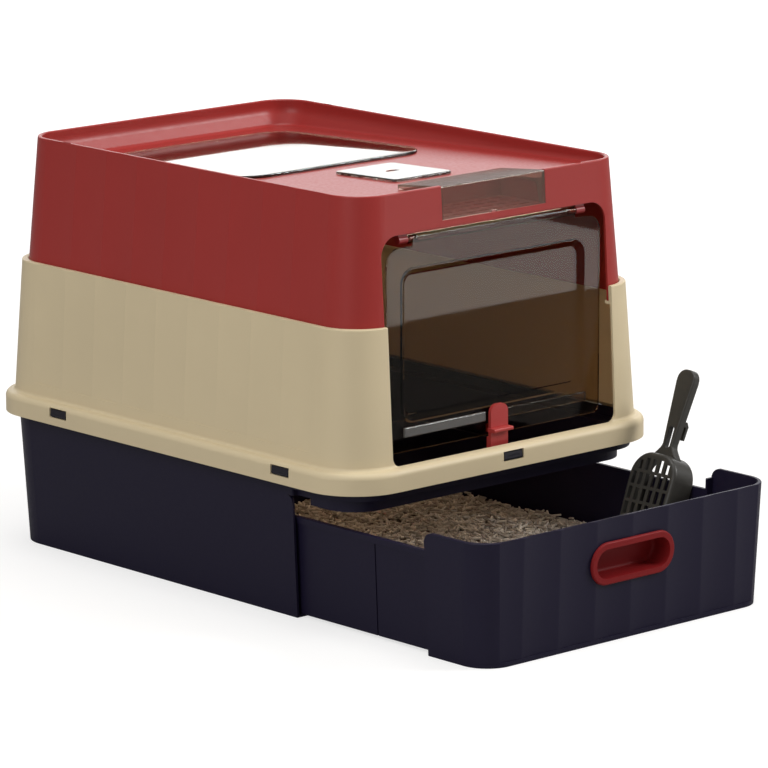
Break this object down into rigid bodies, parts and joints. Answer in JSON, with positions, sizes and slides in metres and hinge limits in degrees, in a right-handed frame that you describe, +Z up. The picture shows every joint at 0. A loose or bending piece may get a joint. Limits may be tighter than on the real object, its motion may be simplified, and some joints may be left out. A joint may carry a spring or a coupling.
{
  "type": "drawer litter box",
  "caption": "Covered litter box with a two-part fluted shell, see-through swinging door and lids, and a base with a pull-out litter drawer and scoop.",
  "frame": {"origin": "middle of the housing's footprint, on the floor", "axes": "+X across to the right as seen from the front, +Y to the back (the drawer opens towards -Y), +Z up"},
  "size_m": [0.4105, 0.7068, 0.406],
  "materials": {
    "red_shell": "satin, fine grain",
    "cream_shell": "satin, fine grain",
    "navy_base": "satin",
    "smoke_clear": "polished, see-through",
    "red_trim": "satin",
    "dark_clip": "satin",
    "litter": "loose wood pellets",
    "scoop_grey": "satin"
  },
  "bodies": {
    "housing": {"base_housing": "navy_base", "mid_shell": "cream_shell", "upper_shell": "red_shell", "cell_tray": "red_trim", "hinge_bracket_left": "red_trim", "hinge_bracket_right": "red_trim", "clip_left_rear": "dark_clip", "clip_left_front": "dark_clip", "clip_right_rear": "dark_clip", "clip_right_front": "dark_clip", "clip_front": "dark_clip", "clip_back": "dark_clip"},
    "skylight": {"skylight": "smoke_clear"},
    "hatch": {"hatch_lid": "smoke_clear"},
    "cover": {"cell_cover": "smoke_clear"},
    "flap": {"flap": "smoke_clear", "flap_bar_left": "smoke_clear", "flap_bar_right": "smoke_clear"},
    "latch": {"flap_latch": "red_trim"},
    "drawer": {"drawer": "navy_base", "drawer_handle": "red_trim", "litter_bed": "litter"},
    "scoop": {"scoop": "scoop_grey"}
  },
  "joints": [
    {"name": "drawer_slide", "type": "slide", "parent": "housing", "child": "drawer", "axis": [0, -1, 0], "range_m": [-0.18, 0]},
    {"name": "flap_hinge", "type": "hinge", "parent": "housing", "child": "flap", "pos_m": [0, -0.2415, 0.3608], "axis": [1, 0, 0], "range_deg": [0, 75]},
    {"name": "latch_slide", "type": "slide", "parent": "flap", "child": "latch", "axis": [0, 0, 1], "range_m": [0, 0.014]},
    {"name": "skylight_lift", "type": "slide", "parent": "housing", "child": "skylight", "axis": [0, 0, 1], "range_m": [0, 0.08]},
    {"name": "hatch_lift", "type": "slide", "parent": "housing", "child": "hatch", "axis": [0, 0, 1], "range_m": [0, 0.05]},
    {"name": "cover_lift", "type": "slide", "parent": "housing", "child": "cover", "axis": [0, 0, 1], "range_m": [0, 0.06]},
    {"name": "scoop_lift", "type": "slide", "parent": "drawer", "child": "scoop", "axis": [0, -0.7071, 0.7071], "range_m": [0, 0.2546]}
  ],
  "couplings": [
    {"joint": "scoop_lift", "follows": "drawer_slide", "ratio": -1.4142}
  ]
}
